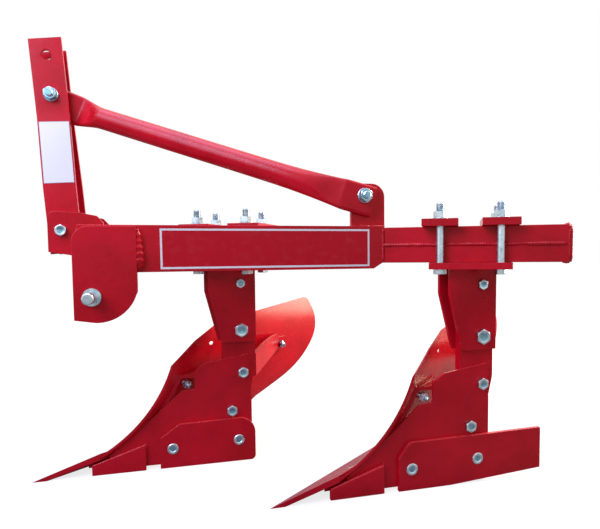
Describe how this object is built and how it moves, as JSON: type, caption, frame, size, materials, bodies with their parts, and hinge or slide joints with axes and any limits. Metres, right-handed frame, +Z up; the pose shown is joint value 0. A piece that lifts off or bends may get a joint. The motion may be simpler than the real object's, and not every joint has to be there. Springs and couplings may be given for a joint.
{
  "type": "mounted moldboard plough",
  "caption": "Tractor-mounted moldboard plough: diagonal beam, clamped standards with trip legs, shares, curved moldboards, landsides, and a three-point hitch with mast and stay.",
  "frame": {"origin": "middle of the bounding box's base, on the ground", "axes": "+X to the rear, against the direction of travel; +Y to the machine's right, the furrow side; +Z up"},
  "size_m": [1.6102, 1.1042, 1.3065],
  "materials": {
    "red_enamel": "glossy sprayed enamel",
    "zinc_steel": "bright zinc plate"
  },
  "bodies": {
    "frame": {"main_beam": "red_enamel", "beam_end_cap": "red_enamel", "side_beam": "red_enamel", "cross_beam": "red_enamel", "left_hitch_plate": "red_enamel", "right_hitch_plate": "red_enamel", "left_lower_pin": "zinc_steel", "right_lower_pin": "zinc_steel", "left_mast_bar": "red_enamel", "left_mast_ear": "red_enamel", "right_mast_bar": "red_enamel", "right_mast_ear": "red_enamel", "mast_foot_bolts": "zinc_steel", "stay": "red_enamel", "stay_bolt": "zinc_steel", "stay_lug": "red_enamel", "stay_lug_bolt": "zinc_steel", "front_clamp_top_plates": "red_enamel", "front_clamp_lower_plate": "red_enamel", "front_clamp_bolts": "zinc_steel", "front_left_cheek": "red_enamel", "front_right_cheek": "red_enamel", "front_pivot_bolt": "zinc_steel", "front_shear_bolt_ends": "zinc_steel", "rear_clamp_top_plates": "red_enamel", "rear_clamp_lower_plate": "red_enamel", "rear_clamp_bolts": "zinc_steel", "rear_left_cheek": "red_enamel", "rear_right_cheek": "red_enamel", "rear_pivot_bolt": "zinc_steel", "rear_shear_bolt_ends": "zinc_steel"},
    "front_leg": {"front_shear_bolt_core": "zinc_steel", "front_shank": "red_enamel", "front_frog_plate": "red_enamel", "front_frog": "red_enamel", "front_landside": "red_enamel", "front_gunnel": "red_enamel", "front_share": "red_enamel", "front_moldboard": "red_enamel", "front_wing_brace": "red_enamel", "front_leg_bolts": "zinc_steel"},
    "rear_leg": {"rear_shear_bolt_core": "zinc_steel", "rear_shank": "red_enamel", "rear_frog_plate": "red_enamel", "rear_frog": "red_enamel", "rear_landside": "red_enamel", "rear_gunnel": "red_enamel", "rear_share": "red_enamel", "rear_moldboard": "red_enamel", "rear_wing_brace": "red_enamel", "rear_leg_bolts": "zinc_steel"}
  },
  "joints": [
    {"name": "front_leg_trip", "type": "hinge", "parent": "frame", "child": "front_leg", "pos_m": [-0.19208, -0.03192, 0.418], "axis": [0, -1, 0], "range_deg": [0, 30]},
    {"name": "rear_leg_trip", "type": "hinge", "parent": "frame", "child": "rear_leg", "pos_m": [0.44721, -0.38192, 0.418], "axis": [0, -1, 0], "range_deg": [0, 30]}
  ]
}
